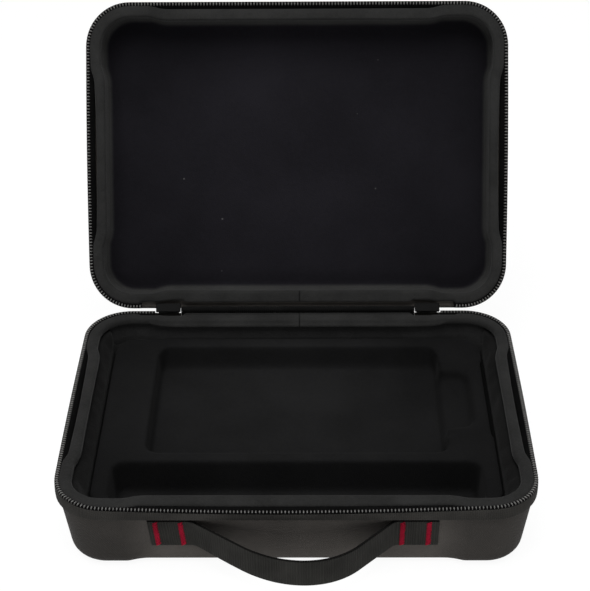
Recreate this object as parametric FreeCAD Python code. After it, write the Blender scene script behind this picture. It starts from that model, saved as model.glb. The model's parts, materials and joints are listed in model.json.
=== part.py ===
"""Moulded zip case with a hinged lid, an inner tray and a webbing handle.

The case is modelled with its lid open. X runs along the hinge, -Y is the handle side and +Z is up.
The origin is the centre of the flat underside. All lengths are in millimetres, angles in degrees.
"""
import FreeCAD
import Part
import math
import os

# Outline of the zip line, seen from above
rim_width = 340.0
rim_depth = 248.0
rim_corner_radius = 36.0

# Heights from each outer face to the parting plane, and the angle the lid stands open
base_height = 62.0
lid_height = 40.0
lid_open_angle = 117.0

# Moulded shells: wall, set-back of the rim from the parting plane, draft and rounded outer edge
shell_wall = 5.0
shell_setback = 7.0
draft_angle = 8.0
edge_radius = 12.0

# Corner bumpers: length along each side, depth of the panels between them, radius of the step
corner_reach = 58.0
panel_recess = 3.0
step_radius = 24.0

# Full-width band at the shell's rim, which the zip tape is sewn to
rim_band_height = 5.5
rim_band_step = 0.4

# Zip: tape, row of teeth, and the clearance to the hinge axis and the parting plane
tape_thickness = 1.2
tape_height = 12.0
teeth_width = 2.8
teeth_height = 2.4
teeth_clearance = 0.15
hinge_clearance = 0.6

# Fabric hinge between the two zip ends
hinge_length = 188.0

# Lining of both halves, and the glue line between layers
lining_thickness = 1.0
glue_gap = 0.1

# Padded roll that covers the inner rim of both halves
roll_width = 8.8
roll_round = 2.8
roll_clearance = 0.4

# Padded liner on the base's inner wall
liner_top_inset = 15.0
liner_low_inset = 20.5
liner_slope_height = 11.0

# Formed inner tray, its rear lip, the ring that carries it, and the gap to the wall liner
tray_gap = 2.0
tray_corner_radius = 18.0
tray_drop = 18.0
tray_sheet = 3.0
tray_rear_lip = 8.0
tray_edge_round = 2.0
tray_ring_wall = 3.0
pocket_draft_angle = 4.0
pocket_corner_radius = 9.0
pocket_floor_round = 4.0

# Pockets of the tray: margins that stay at the tray's edge, the ridge between the pockets, and depths
recess_left_margin = 36.5
recess_right_margin = 35.5
recess_rear_margin = 10.5
recess_deep = 17.5
notch_right_margin = 14.0
notch_rear_setback = 27.0
notch_front_setback = 32.0
notch_deep = 10.0
ridge_width = 11.0
trough_side_margin = 13.5
trough_front_margin = 6.5
trough_length = 45.0
trough_deep = 29.0

# Zip sliders, their pulls and the short way that they run beside the hinge
slider_start_gap = 1.0
slider_length = 20.0
slider_travel = 12.0
slider_throat = 2.2
slider_plate = 1.7
slider_plate_width = 7.6
slider_bridge_width = 3.4
slider_post_length = 4.0
slider_post_width = 2.0
slider_bar_radius = 0.8
slider_bar_length = 8.4
slider_ear = 1.4
slider_clearance = 0.5
pull_eye_wall = 1.0
pull_clearance = 0.3
pull_length = 28.0
pull_width = 7.0
pull_thickness = 1.6

# Webbing handle: strap, sewn tabs and the loop that stands off the front
strap_width = 25.0
strap_thickness = 1.8
tab_margin = 12.0
tab_length = 26.0
strap_drop = 16.0
loop_bow = 36.0
loop_angle = 37.0
root_bend_radius = 12.0
strap_gap = 0.3

# Bar-tack stitching on the tabs
tack_margin = 3.5
tack_width = 2.4
tack_length = 23.0
tack_height = 0.6

# Rounding of the small metal pieces as a share of their size
metal_round_share = 1 / 3

# Overrun of all cuts, and the tolerance for finding the edges in a plane
cut_over = 1.0
plane_tolerance = 0.001

V = FreeCAD.Vector
half_width = rim_width / 2
half_depth = rim_depth / 2
draft_rate = math.tan(math.radians(draft_angle))
tape_inset = hinge_clearance
band_inset = tape_inset + tape_thickness
shell_inset = band_inset + rim_band_step
roll_inset = tape_inset + teeth_width + roll_clearance
slider_place = (hinge_length + slider_length) / 2 + slider_start_gap
zip_end = slider_place + slider_length / 2 + slider_travel + cut_over
tray_inset = liner_low_inset + tray_gap
tray_width = rim_width - 2 * tray_inset
tray_depth = rim_depth - 2 * tray_inset
recess_width = tray_width - recess_left_margin - recess_right_margin
recess_length = tray_depth - recess_rear_margin - ridge_width - trough_length - trough_front_margin
recess_shift_x = (recess_left_margin - recess_right_margin) / 2
recess_shift_y = (tray_depth - recess_length) / 2 - recess_rear_margin
notch_reach = recess_right_margin - notch_right_margin
notch_length = recess_length - notch_rear_setback - notch_front_setback
notch_shift_y = recess_shift_y + (notch_front_setback - notch_rear_setback) / 2
trough_width = tray_width - 2 * trough_side_margin
trough_shift_y = trough_front_margin + (trough_length - tray_depth) / 2
tab_outer_place = half_width - corner_reach - tab_margin
tab_inner_place = tab_outer_place - tab_length
parting_z = base_height
hinge_y = half_depth
x_axis = V(1, 0, 0)
z_axis = V(0, 0, 1)


def side_frames(half_x, half_y):
    """Direction of travel, outward normal, half length and distance of the four sides in turn."""
    return [
        (V(0, 1, 0), V(1, 0, 0), half_y, half_x),
        (V(-1, 0, 0), V(0, 1, 0), half_x, half_y),
        (V(0, -1, 0), V(-1, 0, 0), half_y, half_x),
        (V(1, 0, 0), V(0, -1, 0), half_x, half_y),
    ]


def corner_arc(along, normal, half_length, distance, radius, inset, z):
    """Round corner at the end of one side."""
    centre = along * (half_length - radius) + normal * (distance - radius) + z_axis * z
    reach = radius - inset
    start = centre + normal * reach
    middle = centre + (normal + along) * (reach * math.sqrt(0.5))
    end = centre + along * reach
    return Part.Arc(start, middle, end).toShape()


def plain_outline(half_x, half_y, radius, inset, z):
    """Rounded rectangle, moved in by the inset."""
    edges = []
    for along, normal, half_length, distance in side_frames(half_x, half_y):
        reach = half_length - radius
        foot = normal * (distance - inset) + z_axis * z
        edges.append(Part.LineSegment(foot - along * reach, foot + along * reach).toShape())
        edges.append(corner_arc(along, normal, half_length, distance, radius, inset, z))
    return Part.Wire(edges)


def stepped_side(along, normal, half_length, distance, inset, z):
    """One side with a bumper at each end and a recessed panel between them."""
    turn = math.acos(1 - panel_recess / (2 * step_radius))
    step_length = 2 * step_radius * math.sin(turn)
    panel_end = half_length - corner_reach - step_length / 2
    bumper_start = panel_end + step_length
    reach = half_length - rim_corner_radius

    def place(s, n):
        return along * s + normal * n + z_axis * z

    def arc(s, n, radius, sign, first, last):
        points = [place(s + sign * radius * math.sin(a), n + radius * math.cos(a))
                  for a in (first, (first + last) / 2, last)]
        return Part.Arc(*points).toShape()

    outer = distance - inset
    inner = outer - panel_recess
    convex = step_radius - inset
    hollow = step_radius + inset
    convex_n = distance - step_radius
    hollow_n = distance - panel_recess + step_radius
    return [
        Part.LineSegment(place(-reach, outer), place(-bumper_start, outer)).toShape(),
        arc(-bumper_start, convex_n, convex, 1, 0, turn),
        arc(-panel_end, hollow_n, hollow, -1, math.pi - turn, math.pi),
        Part.LineSegment(place(-panel_end, inner), place(panel_end, inner)).toShape(),
        arc(panel_end, hollow_n, hollow, 1, math.pi, math.pi - turn),
        arc(bumper_start, convex_n, convex, -1, turn, 0),
        Part.LineSegment(place(bumper_start, outer), place(reach, outer)).toShape(),
    ]


def stepped_outline(inset, z):
    """Rim outline with recessed panels between the corner bumpers, moved in by the inset."""
    edges = []
    for along, normal, half_length, distance in side_frames(half_width, half_depth):
        edges.extend(stepped_side(along, normal, half_length, distance, inset, z))
        edges.append(corner_arc(along, normal, half_length, distance, rim_corner_radius, inset, z))
    return Part.Wire(edges)


def rim_outline(inset, z):
    """Plain outline of the zip line, moved in by the inset."""
    return plain_outline(half_width, half_depth, rim_corner_radius, inset, z)


def prism(wire, height):
    """Upright solid on a closed wire."""
    return Part.Face(wire).extrude(z_axis * height)


def edges_at(shape, z):
    """Edges that lie in the plane at height z."""
    def off(edge):
        return max(abs(edge.BoundBox.ZMin - z), abs(edge.BoundBox.ZMax - z))

    return [edge for edge in shape.Edges if off(edge) < plane_tolerance]


def taper(low_wire, high_wire):
    """Straight-sided solid between two wires."""
    return Part.makeLoft([low_wire, high_wire], True, True)


def tub(inset, top_z, bottom_z, radius):
    """Solid with drafted, stepped sides and a rounded bottom edge, measured from the shell's rim."""
    rim_z = parting_z - shell_setback
    low_inset = inset + (rim_z - bottom_z) * draft_rate
    high_inset = inset + (rim_z - top_z) * draft_rate
    solid = taper(stepped_outline(low_inset, bottom_z), stepped_outline(high_inset, top_z))
    return solid.makeFillet(radius, edges_at(solid, bottom_z))


def shell(height):
    """Moulded half shell that opens upward, with its rim below the parting plane."""
    bottom_z = parting_z - height
    rim_z = parting_z - shell_setback
    band = prism(rim_outline(band_inset, rim_z - rim_band_height), rim_band_height)
    body = tub(shell_inset, rim_z - rim_band_height / 2, bottom_z, edge_radius)
    hollow = tub(shell_inset + shell_wall, rim_z + cut_over, bottom_z + shell_wall, edge_radius - shell_wall)
    return band.fuse(body).cut(hollow).removeSplitter()


def lining(height):
    """Cloth lining glued to the inside of a shell."""
    bottom_z = parting_z - height + shell_wall + glue_gap
    rim_z = parting_z - shell_setback
    outer_inset = shell_inset + shell_wall + glue_gap
    outer_radius = edge_radius - shell_wall - glue_gap
    outer = tub(outer_inset, rim_z, bottom_z, outer_radius)
    inner = tub(outer_inset + lining_thickness, rim_z + cut_over, bottom_z + lining_thickness,
                outer_radius - lining_thickness)
    return outer.cut(inner)


def rim_roll():
    """Padded roll that sits on the shell's rim and hides its edge, trimmed where the sliders run."""
    low_z = parting_z - shell_setback + glue_gap
    height = shell_setback - glue_gap - roll_clearance
    outer = prism(stepped_outline(roll_inset, low_z), height)
    inner = prism(stepped_outline(roll_inset + roll_width, low_z - cut_over), height + 2 * cut_over)
    ring = outer.cut(inner)
    trim = Part.makeBox(2 * zip_end, half_depth, height + 2 * cut_over,
                        V(-zip_end, half_depth - slider_reach() - slider_clearance, low_z - cut_over))
    ring = ring.cut(trim)
    return ring.makeFillet(roll_round, edges_at(ring, low_z + height))


def slider_reach():
    """Reach of a turned slider's inner plate from the hinge axis into the case."""
    turn = math.radians(90 - lid_open_angle / 2)
    return slider_plate_width / 2 * math.cos(turn) + (slider_throat + slider_plate) * math.sin(turn)


def open_at_hinge(ring, half_gap):
    """Cut the hinge side out of a ring, between the two zip ends."""
    box = ring.BoundBox
    gap = Part.makeBox(2 * half_gap, half_depth, box.ZLength + 2 * cut_over,
                       V(-half_gap, half_depth / 2, box.ZMin - cut_over))
    return ring.cut(gap)


def zip_tape(half_gap):
    """Cloth tape on the outside of the rim, under the teeth."""
    top_z = parting_z - teeth_clearance - teeth_height
    low_z = parting_z - tape_height
    outer = prism(rim_outline(tape_inset, low_z), top_z - low_z)
    inner = prism(rim_outline(band_inset, low_z - cut_over), top_z - low_z + 2 * cut_over)
    return open_at_hinge(outer.cut(inner), half_gap)


def zip_teeth(half_gap):
    """Row of teeth along the top of the tape, as one strip."""
    low_z = parting_z - teeth_clearance - teeth_height
    outer = prism(rim_outline(tape_inset, low_z), teeth_height)
    inner = prism(rim_outline(tape_inset + teeth_width, low_z - cut_over), teeth_height + 2 * cut_over)
    return open_at_hinge(outer.cut(inner), half_gap)


def wall_liner():
    """Padded liner between the base's lining and the tray, thicker below than at its top."""
    top_z = parting_z - shell_setback
    slope_z = top_z - liner_slope_height
    lining_inset = shell_inset + shell_wall + lining_thickness + 2 * glue_gap
    floor_round = edge_radius - shell_wall - lining_thickness
    low_z = shell_wall + lining_thickness + floor_round
    low_inset = lining_inset + (top_z - low_z) * draft_rate
    outer = taper(stepped_outline(low_inset, low_z), stepped_outline(lining_inset, top_z))
    upper = taper(rim_outline(liner_low_inset, slope_z), rim_outline(liner_top_inset, top_z))
    lower = prism(rim_outline(liner_low_inset, low_z), slope_z - low_z)
    lip_low = parting_z - tray_drop - tray_sheet - tray_gap
    rear = prism(tray_top_outline(tray_gap, lip_low), top_z + cut_over - lip_low)
    rear.translate(V(0, tray_inset, 0))
    return outer.cut(upper.fuse([lower, rear]))


def rounded_pocket(x_size, y_size, x, y, low_z, high_z, grow):
    """Drafted pocket with round corners, grown by a sheet's thickness to make its underside."""
    slope = math.tan(math.radians(pocket_draft_angle))
    low_wire = plain_outline(x_size / 2, y_size / 2, pocket_corner_radius,
                             (high_z - low_z) * slope - grow, low_z - grow)
    high_wire = plain_outline(x_size / 2, y_size / 2, pocket_corner_radius, -grow, high_z)
    solid = taper(low_wire, high_wire)
    solid = solid.makeFillet(pocket_floor_round + grow, edges_at(solid, low_z - grow))
    return solid.translate(V(x, y, 0))


def tray_pockets(grow):
    """All pockets of the tray as one solid."""
    top_z = parting_z - tray_drop
    recess = rounded_pocket(recess_width, recess_length, recess_shift_x, recess_shift_y,
                            top_z - recess_deep, top_z, grow)
    recess_side = recess_shift_x + recess_width / 2
    notch_width = notch_reach + recess_width / 2
    notch = rounded_pocket(notch_width, notch_length, recess_side + notch_reach - notch_width / 2,
                           notch_shift_y, top_z - notch_deep, top_z, grow)
    trough = rounded_pocket(trough_width, trough_length, 0, trough_shift_y, top_z - trough_deep, top_z, grow)
    return recess.fuse([notch, trough])


def tray_top_outline(grow, z):
    """Outline of the tray's top with its rear lip, grown on all sides."""
    wire = plain_outline(tray_width / 2, (tray_depth + tray_rear_lip) / 2, tray_corner_radius, -grow, z)
    wire.translate(V(0, tray_rear_lip / 2, 0))
    return wire


def tray():
    """Tray formed from one sheet: a flat top with its pockets, and a lip at the rear."""
    top_z = parting_z - tray_drop
    top = prism(tray_top_outline(0, top_z - tray_sheet), tray_sheet)
    top = top.makeFillet(tray_edge_round, edges_at(top, top_z))
    return top.fuse(tray_pockets(tray_sheet)).cut(tray_pockets(0)).removeSplitter()


def tray_ring():
    """Ring under the edge of the tray's top, which stands on the base's lining."""
    low_z = shell_wall + lining_thickness + 2 * glue_gap
    height = parting_z - tray_drop - tray_sheet - glue_gap - low_z
    half_x, half_y = tray_width / 2, tray_depth / 2
    outer = prism(plain_outline(half_x, half_y, tray_corner_radius, 0, low_z), height)
    inner = prism(plain_outline(half_x, half_y, tray_corner_radius, tray_ring_wall, low_z - cut_over),
                  height + 2 * cut_over)
    return outer.cut(inner.fuse(tray_pockets(tray_sheet + glue_gap)))


def hinge_tape():
    """Cloth hinge on the outside: a leg on each shell and a bend round the hinge axis."""
    leg = tape_height
    base_leg = Part.makeBox(hinge_length, tape_thickness, leg,
                            V(-hinge_length / 2, hinge_y - band_inset, parting_z - leg))
    bend_start = V(-hinge_length / 2, hinge_y, parting_z)
    outer = Part.makeCylinder(band_inset, hinge_length, bend_start, x_axis, lid_open_angle)
    inner = Part.makeCylinder(tape_inset, hinge_length, bend_start, x_axis)
    bend = outer.cut(inner)
    bend.rotate(bend_start, x_axis, first_angle(outer, bend_start))
    return base_leg.fuse([bend, lid_place(base_leg.copy())]).removeSplitter()


def first_angle(sector, centre):
    """Turn that brings a sector's end onto the top of the base's leg."""
    middle = sector.CenterOfMass - centre
    now = math.degrees(math.atan2(middle.z, middle.y))
    return 180.0 - lid_open_angle / 2 - now


def lid_place(shape):
    """Move a half made as a base half, hinge side to the rear, to the lid's open place."""
    shape.rotate(V(0, 0, 0), z_axis, 180)
    shape.translate(V(0, 2 * hinge_y, 0))
    shape.rotate(V(0, hinge_y, parting_z), x_axis, 180 - lid_open_angle)
    return shape


def lid_tape_ends(inner_end, outer_end):
    """Loose ends of the lid's zip tape, from the hinge to where the teeth begin."""
    top_z = parting_z - teeth_clearance - teeth_height
    low_z = parting_z - tape_height
    ends = []
    for start in (inner_end, -outer_end):
        end = Part.makeBox(outer_end - inner_end, tape_thickness, top_z - low_z,
                           V(start, hinge_y - band_inset, low_z))
        ends.append(lid_place(end))
    return Part.makeCompound(ends)


def slider_turn(shape):
    """Turn a slider made with its inner plate upward to face into the open case."""
    return shape.rotate(V(0, hinge_y, parting_z), x_axis, 90 - lid_open_angle / 2)


def centred_box(x, y, z, centre):
    """Box of three sizes about its centre."""
    return Part.makeBox(x, y, z, centre - V(x / 2, y / 2, z / 2))


def slider_bar_drop():
    """Distance of the pull's bar below the hinge axis, in the slider's own direction."""
    return slider_throat + slider_plate + pull_clearance + eye_radius()


def eye_radius():
    """Outer radius of the pull's eye."""
    return slider_bar_radius + pull_clearance + pull_eye_wall


def slider(side):
    """Zip slider: inner plate, post, outer bridge and the bar that carries the pull."""
    x = side * slider_place
    at = V(x, hinge_y, parting_z)
    inner = centred_box(slider_length, slider_plate_width, slider_plate,
                        at + z_axis * (slider_throat + slider_plate / 2))
    inner = inner.makeFillet(slider_plate * metal_round_share, inner.Edges)
    post_x = x - side * (slider_length - slider_post_length) / 2
    post = centred_box(slider_post_length - slider_plate, slider_post_width, 2 * slider_throat + slider_plate,
                       V(post_x, hinge_y, parting_z))
    bridge = centred_box(slider_length - 2 * slider_plate, slider_bridge_width, slider_plate,
                         at - z_axis * (slider_throat + slider_plate / 2))
    drop = slider_bar_drop()
    ear_height = drop + slider_bar_radius - slider_throat - slider_plate / 2
    pieces = [post, bridge]
    for end in (-1, 1):
        ear_x = x + end * (slider_bar_length - slider_ear) / 2
        ear_z = parting_z - drop - slider_bar_radius + ear_height / 2
        pieces.append(centred_box(slider_ear, slider_bridge_width, ear_height, V(ear_x, hinge_y, ear_z)))
    bar_start = V(x - slider_bar_length / 2, hinge_y, parting_z - drop)
    pieces.append(Part.makeCylinder(slider_bar_radius, slider_bar_length, bar_start, x_axis))
    return slider_turn(inner.fuse(pieces).removeSplitter())


def bar_centre(side):
    """Place of the pull's pivot after the slider is turned."""
    turn = math.radians(lid_open_angle / 2)
    drop = slider_bar_drop()
    return V(side * slider_place, hinge_y + drop * math.cos(turn), parting_z - drop * math.sin(turn))


def pull(side):
    """Pull tab that hangs from the slider's bar by its eye."""
    centre = bar_centre(side)
    hole = slider_bar_radius + pull_clearance
    eye_width = slider_bar_length - 2 * slider_ear - 2 * pull_clearance
    start = centre - x_axis * (eye_width / 2)
    eye = Part.makeCylinder(eye_radius(), eye_width, start, x_axis)
    neck = centred_box(eye_width, pull_thickness, pull_width, centre - z_axis * (hole + pull_width / 2))
    blade_z = eye_radius() + pull_eye_wall + pull_length / 2
    blade = centred_box(pull_width, pull_thickness, pull_length, centre - z_axis * blade_z)
    upright = [e for e in blade.Edges if abs(e.tangentAt(e.FirstParameter).y) > 0.5]
    blade = blade.makeFillet(pull_width * metal_round_share, upright)
    bore = Part.makeCylinder(hole, eye_width + 2 * cut_over, start - x_axis * cut_over, x_axis)
    return eye.fuse([neck, blade]).cut(bore).removeSplitter()


def strap_top():
    """Height of the strap's upper edge."""
    return parting_z - strap_drop


def front_panel_y(z):
    """Front face of the recessed panel at height z."""
    return -(half_depth - shell_inset - panel_recess - (parting_z - shell_setback - z) * draft_rate)


def on_front(shape):
    """Lean a piece made on an upright wall at y = 0 onto the drafted front panel."""
    shape.rotate(V(0, 0, 0), x_axis, draft_angle)
    return shape.translate(V(0, front_panel_y(strap_top()) - glue_gap, strap_top()))


def loop_sizes():
    """Angle of the loop's bends, radius of its crown and length of the straight between root and crown."""
    turn = math.radians(loop_angle)
    both_radii = (tab_inner_place * math.sin(turn) - loop_bow * math.cos(turn)) / (1 - math.cos(turn))
    straight = (loop_bow - both_radii * (1 - math.cos(turn))) / math.sin(turn)
    return turn, both_radii - root_bend_radius, straight


def loop_length():
    """Length of the loop's half, from tab to centre."""
    turn, crown_radius, straight = loop_sizes()
    return turn * (root_bend_radius + crown_radius) + straight


def loop_point(share, radial):
    """Point of the loop's half, by its share of the way from tab to centre, offset outward."""
    turn, crown_radius, straight = loop_sizes()
    bend = turn * root_bend_radius
    way = share * loop_length()
    if way > bend + straight:
        angle = turn - (way - bend - straight) / crown_radius
        reach = crown_radius + radial
        return V(reach * math.sin(angle), crown_radius - loop_bow - reach * math.cos(angle), 0)
    angle = min(way / root_bend_radius, turn)
    run = max(way - bend, 0)
    reach = root_bend_radius - radial
    foot = V(tab_inner_place - reach * math.sin(angle), reach * math.cos(angle) - root_bend_radius, 0)
    return foot - V(math.cos(angle), math.sin(angle), 0) * run


def bend_share():
    """Share of the way from tab to centre where the root's bend ends."""
    return loop_sizes()[0] * root_bend_radius / loop_length()


def grip_share():
    """Share of the way from tab to centre where the flexing root ends and the grip begins."""
    turn, crown_radius, straight = loop_sizes()
    return 1 - turn * crown_radius / loop_length()


def strap_edge(low, high, radial):
    """Edge of the strap between two shares of its way, straight where its points lie in a line."""
    first, middle, last = [loop_point(share, radial) for share in (low, (low + high) / 2, high)]
    if middle.distanceToLine(first, last - first) < plane_tolerance:
        return Part.LineSegment(first, last).toShape()
    return Part.Arc(first, middle, last).toShape()


def strap_solid(stops):
    """Stretch of the right half of the loop through the given shares of its way."""
    edges = []
    for radial in (0, strap_thickness):
        for low, high in zip(stops, stops[1:]):
            edges.append(strap_edge(low, high, radial))
    for share in (stops[0], stops[-1]):
        edges.append(Part.LineSegment(loop_point(share, 0), loop_point(share, strap_thickness)).toShape())
    wire = Part.Wire(Part.__sortEdges__(edges))
    return Part.Face(wire).extrude(z_axis * -strap_width)


def strap_root():
    """Stretch that flexes between a sewn tab and the grip."""
    return strap_solid([0, bend_share(), grip_share() - strap_gap / loop_length()])


def strap_grip():
    """Middle of the loop, which lifts."""
    right = strap_solid([grip_share(), 1])
    left = right.mirror(V(0, 0, 0), x_axis)
    return on_front(right.fuse(left).removeSplitter())


def strap_tab():
    """Sewn end of the strap, flat on the front panel."""
    return Part.makeBox(tab_length, strap_thickness, strap_width,
                        V(tab_inner_place, -strap_thickness, -strap_width))


def stitching():
    """Bar tacks across both tabs."""
    tacks = []
    for place in (tab_inner_place + tack_margin, tab_outer_place - tack_margin):
        for side in (-1, 1):
            centre = V(side * place, -strap_thickness - tack_height / 2, -strap_width / 2)
            tacks.append(on_front(centred_box(tack_width, tack_height, tack_length, centre)))
    return Part.makeCompound(tacks)


def all_pieces():
    """Every piece of the case by its name."""
    hinge_end = hinge_length / 2
    pieces = {
        "base_shell": shell(base_height),
        "base_lining": lining(base_height),
        "base_wall_liner": wall_liner(),
        "base_rim_roll": rim_roll(),
        "base_zip_tape": zip_tape(hinge_end + glue_gap),
        "base_zip_teeth": zip_teeth(zip_end),
        "inner_tray": tray(),
        "tray_ring": tray_ring(),
        "lid_shell": lid_place(shell(lid_height)),
        "lid_lining": lid_place(lining(lid_height)),
        "lid_rim_roll": lid_place(rim_roll()),
        "lid_zip_tape": lid_place(zip_tape(zip_end)),
        "lid_zip_teeth": lid_place(zip_teeth(zip_end)),
        "lid_tape_ends": lid_tape_ends(hinge_end + glue_gap, zip_end - glue_gap),
        "hinge_tape": hinge_tape(),
        "handle_grip": strap_grip(),
        "handle_stitching": stitching(),
    }
    for name, side in (("left", -1), ("right", 1)):
        pieces[name + "_slider"] = slider(side)
        pieces[name + "_pull"] = pull(side)
        for part_name, make in (("tab", strap_tab), ("root", strap_root)):
            piece = make()
            if side < 0:
                piece = piece.mirror(V(0, 0, 0), x_axis)
            pieces["handle_" + name + "_" + part_name] = on_front(piece)
    return pieces


os.makedirs("parts", exist_ok=True)
for piece_name, piece in all_pieces().items():
    piece.exportStep(os.path.join("parts", piece_name + ".step"))
    print(piece_name, len(piece.Solids), "solid", piece.isValid(), round(piece.Volume, 1))
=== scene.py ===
# %% [markdown]
# # A moulded zip case, dressed in Blender
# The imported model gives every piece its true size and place. This lesson loads it, keeps the stiff
# pieces, and remakes the soft ones: padding, tape, webbing and thread. Every object stays in metres
# in the model's own frame, so a piece never has to be fitted by eye.

import bpy
import bmesh
import json
import math
from mathutils import Matrix, Quaternion, Vector, kdtree, noise


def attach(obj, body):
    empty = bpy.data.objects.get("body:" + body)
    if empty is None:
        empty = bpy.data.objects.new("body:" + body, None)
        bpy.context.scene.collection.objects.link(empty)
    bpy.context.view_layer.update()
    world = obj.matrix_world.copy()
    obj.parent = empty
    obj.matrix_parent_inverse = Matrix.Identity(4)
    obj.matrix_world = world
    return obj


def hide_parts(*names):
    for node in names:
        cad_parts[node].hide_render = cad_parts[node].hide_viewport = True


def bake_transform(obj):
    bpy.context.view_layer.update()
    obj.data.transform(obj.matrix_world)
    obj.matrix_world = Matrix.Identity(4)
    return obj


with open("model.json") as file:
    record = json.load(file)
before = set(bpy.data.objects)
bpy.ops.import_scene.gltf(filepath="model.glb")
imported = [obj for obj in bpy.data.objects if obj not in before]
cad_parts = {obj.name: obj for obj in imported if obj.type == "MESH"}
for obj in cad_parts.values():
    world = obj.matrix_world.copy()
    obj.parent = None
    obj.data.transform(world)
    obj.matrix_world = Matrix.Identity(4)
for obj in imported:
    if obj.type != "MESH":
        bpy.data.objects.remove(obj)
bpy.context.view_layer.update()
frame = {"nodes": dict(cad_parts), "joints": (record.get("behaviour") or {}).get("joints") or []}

# %% [markdown]
# ## Sizes shared by several pieces
# The zip line is a rounded rectangle at the parting plane. Both halves of the case use it, so its
# sizes are named once, and its height comes from the hinge joint. The lid is a base half turned round
# and swung up about the hinge line.

# %% Shared sizes
joint_at = {joint["name"]: Vector(joint["pos_m"]) for joint in frame["joints"] if "pos_m" in joint}
hinge, strap_top = joint_at["lid_hinge"], joint_at["handle_lift"]
half_width, half_depth, corner = 0.170, hinge.y, 0.036
straight_x, straight_y = half_width - corner, half_depth - corner
parting, open_angle = hinge.z, math.radians(117)
raised = Matrix.Rotation(math.pi - open_angle, 4, "X")
swing = Matrix.Translation(hinge) @ raised @ Matrix.Translation(-hinge)
lid_place = swing @ Matrix.Translation((0, 2 * half_depth, 0)) @ Matrix.Rotation(math.pi, 4, "Z")
print("hinge line at", tuple(round(c, 4) for c in hinge))

# %% [markdown]
# ## Camera
# The photograph was taken with a long lens from in front and above. Its place was worked out from
# the outline of the zip line, so here it is only written down. The slight roll lifts the right side.

# %% Camera
focal_pixels, photo_pixels, sensor_width, camera_distance = 1570, 590, 36.0, 1.2934
elevation, yaw, roll_angle = math.radians(32.5), math.radians(0.67), math.radians(-0.49)
camera_data = bpy.data.cameras.new("photo_camera")
camera_data.sensor_fit = "HORIZONTAL"
camera_data.sensor_width = sensor_width
camera_data.lens = focal_pixels / photo_pixels * sensor_width
camera = bpy.data.objects.new("photo_camera", camera_data)
bpy.context.scene.collection.objects.link(camera)
aim = Vector((-0.0023, 0.1432, parting + 0.001))
level = math.cos(elevation)
back = Vector((math.sin(yaw) * level, -math.cos(yaw) * level, math.sin(elevation)))
camera.location = aim + back * camera_distance
camera.rotation_mode = "QUATERNION"
camera.rotation_quaternion = (-back).to_track_quat("-Z", "Y") @ Quaternion((0, 0, 1), roll_angle)
bpy.context.scene.camera = camera
print("camera at", tuple(round(c, 3) for c in camera.location), "lens", round(camera_data.lens, 1))

# %% [markdown]
# ## World
# The real case was shot on white. The world looks white to the camera and to shiny things, but lights
# the case at a plain level, so black cloth stays black.

# %% World
ambient_strength = 0.20


def seen_rays(tree):
    """One where a ray comes from the eye, a gloss or a clear surface, else zero."""
    path = tree.nodes.new("ShaderNodeLightPath")
    most = path.outputs["Is Camera Ray"]
    for name in ("Is Glossy Ray", "Is Transmission Ray"):
        either = tree.nodes.new("ShaderNodeMath")
        either.operation = "MAXIMUM"
        tree.links.new(most, either.inputs[0])
        tree.links.new(path.outputs[name], either.inputs[1])
        most = either.outputs[0]
    return most


def choose_shader(tree, share, first, second, output):
    """Mix two shaders by a share and join the mix to the output."""
    mix = tree.nodes.new("ShaderNodeMixShader")
    for slot, source in enumerate((share, first.outputs[0], second.outputs[0])):
        tree.links.new(source, mix.inputs[slot])
    tree.links.new(mix.outputs[0], tree.nodes[output].inputs["Surface"])


world = bpy.data.worlds.new("white_room")
bpy.context.scene.world = world
world.use_nodes = True
room = world.node_tree
ambient = room.nodes["Background"]
ambient.inputs["Color"].default_value = (1, 1, 1, 1)
ambient.inputs["Strength"].default_value = ambient_strength
white = room.nodes.new("ShaderNodeBackground")
white.inputs["Color"].default_value = (1, 1, 1, 1)
white.inputs["Strength"].default_value = 1.0
choose_shader(room, seen_rays(room), ambient, white, "World Output")
print("world strength", ambient_strength)

# %% [markdown]
# ## Floor
# The floor is a sheet of white paper that glows to the eye as the world does. It keeps a soft shadow
# because a share of it is ordinary matt white. It lies a hair under the case.

# %% Floor
floor_half, floor_gap, floor_glow, glow_share = 6.0, 0.0004, 1.09, 0.86
floor_mesh = bpy.data.meshes.new("floor")
bm = bmesh.new()
bmesh.ops.create_grid(bm, x_segments=1, y_segments=1, size=floor_half)
bmesh.ops.translate(bm, verts=bm.verts, vec=(0, 0, -floor_gap))
bm.to_mesh(floor_mesh)
bm.free()
floor = bpy.data.objects.new("floor", floor_mesh)
bpy.context.scene.collection.objects.link(floor)
paper = bpy.data.materials.new("white_floor")
paper.use_nodes = True
tree = paper.node_tree
matt = tree.nodes.new("ShaderNodeBsdfDiffuse")
matt.inputs["Color"].default_value = (0.85, 0.85, 0.85, 1)
glow = tree.nodes.new("ShaderNodeEmission")
glow.inputs["Strength"].default_value = floor_glow
most = tree.nodes.new("ShaderNodeMath")
most.operation = "MULTIPLY"
most.inputs[1].default_value = glow_share
tree.links.new(seen_rays(tree), most.inputs[0])
choose_shader(tree, most.outputs[0], matt, glow, "Material Output")
floor_mesh.materials.append(paper)
print("floor", 2 * floor_half, "m wide")

# %% [markdown]
# ## Lamps
# A large soft lamp hangs above the case and a small one stands in front of it, as in a studio.

# %% Lamps
def soft_box(name, place, target, size, power):
    """A square lamp that looks at a point."""
    data = bpy.data.lights.new(name, "AREA")
    data.shape, data.size, data.energy = "SQUARE", size, power
    lamp = bpy.data.objects.new(name, data)
    bpy.context.scene.collection.objects.link(lamp)
    lamp.location = place
    lamp.rotation_mode = "QUATERNION"
    lamp.rotation_quaternion = (Vector(target) - Vector(place)).to_track_quat("-Z", "Y")


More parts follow.
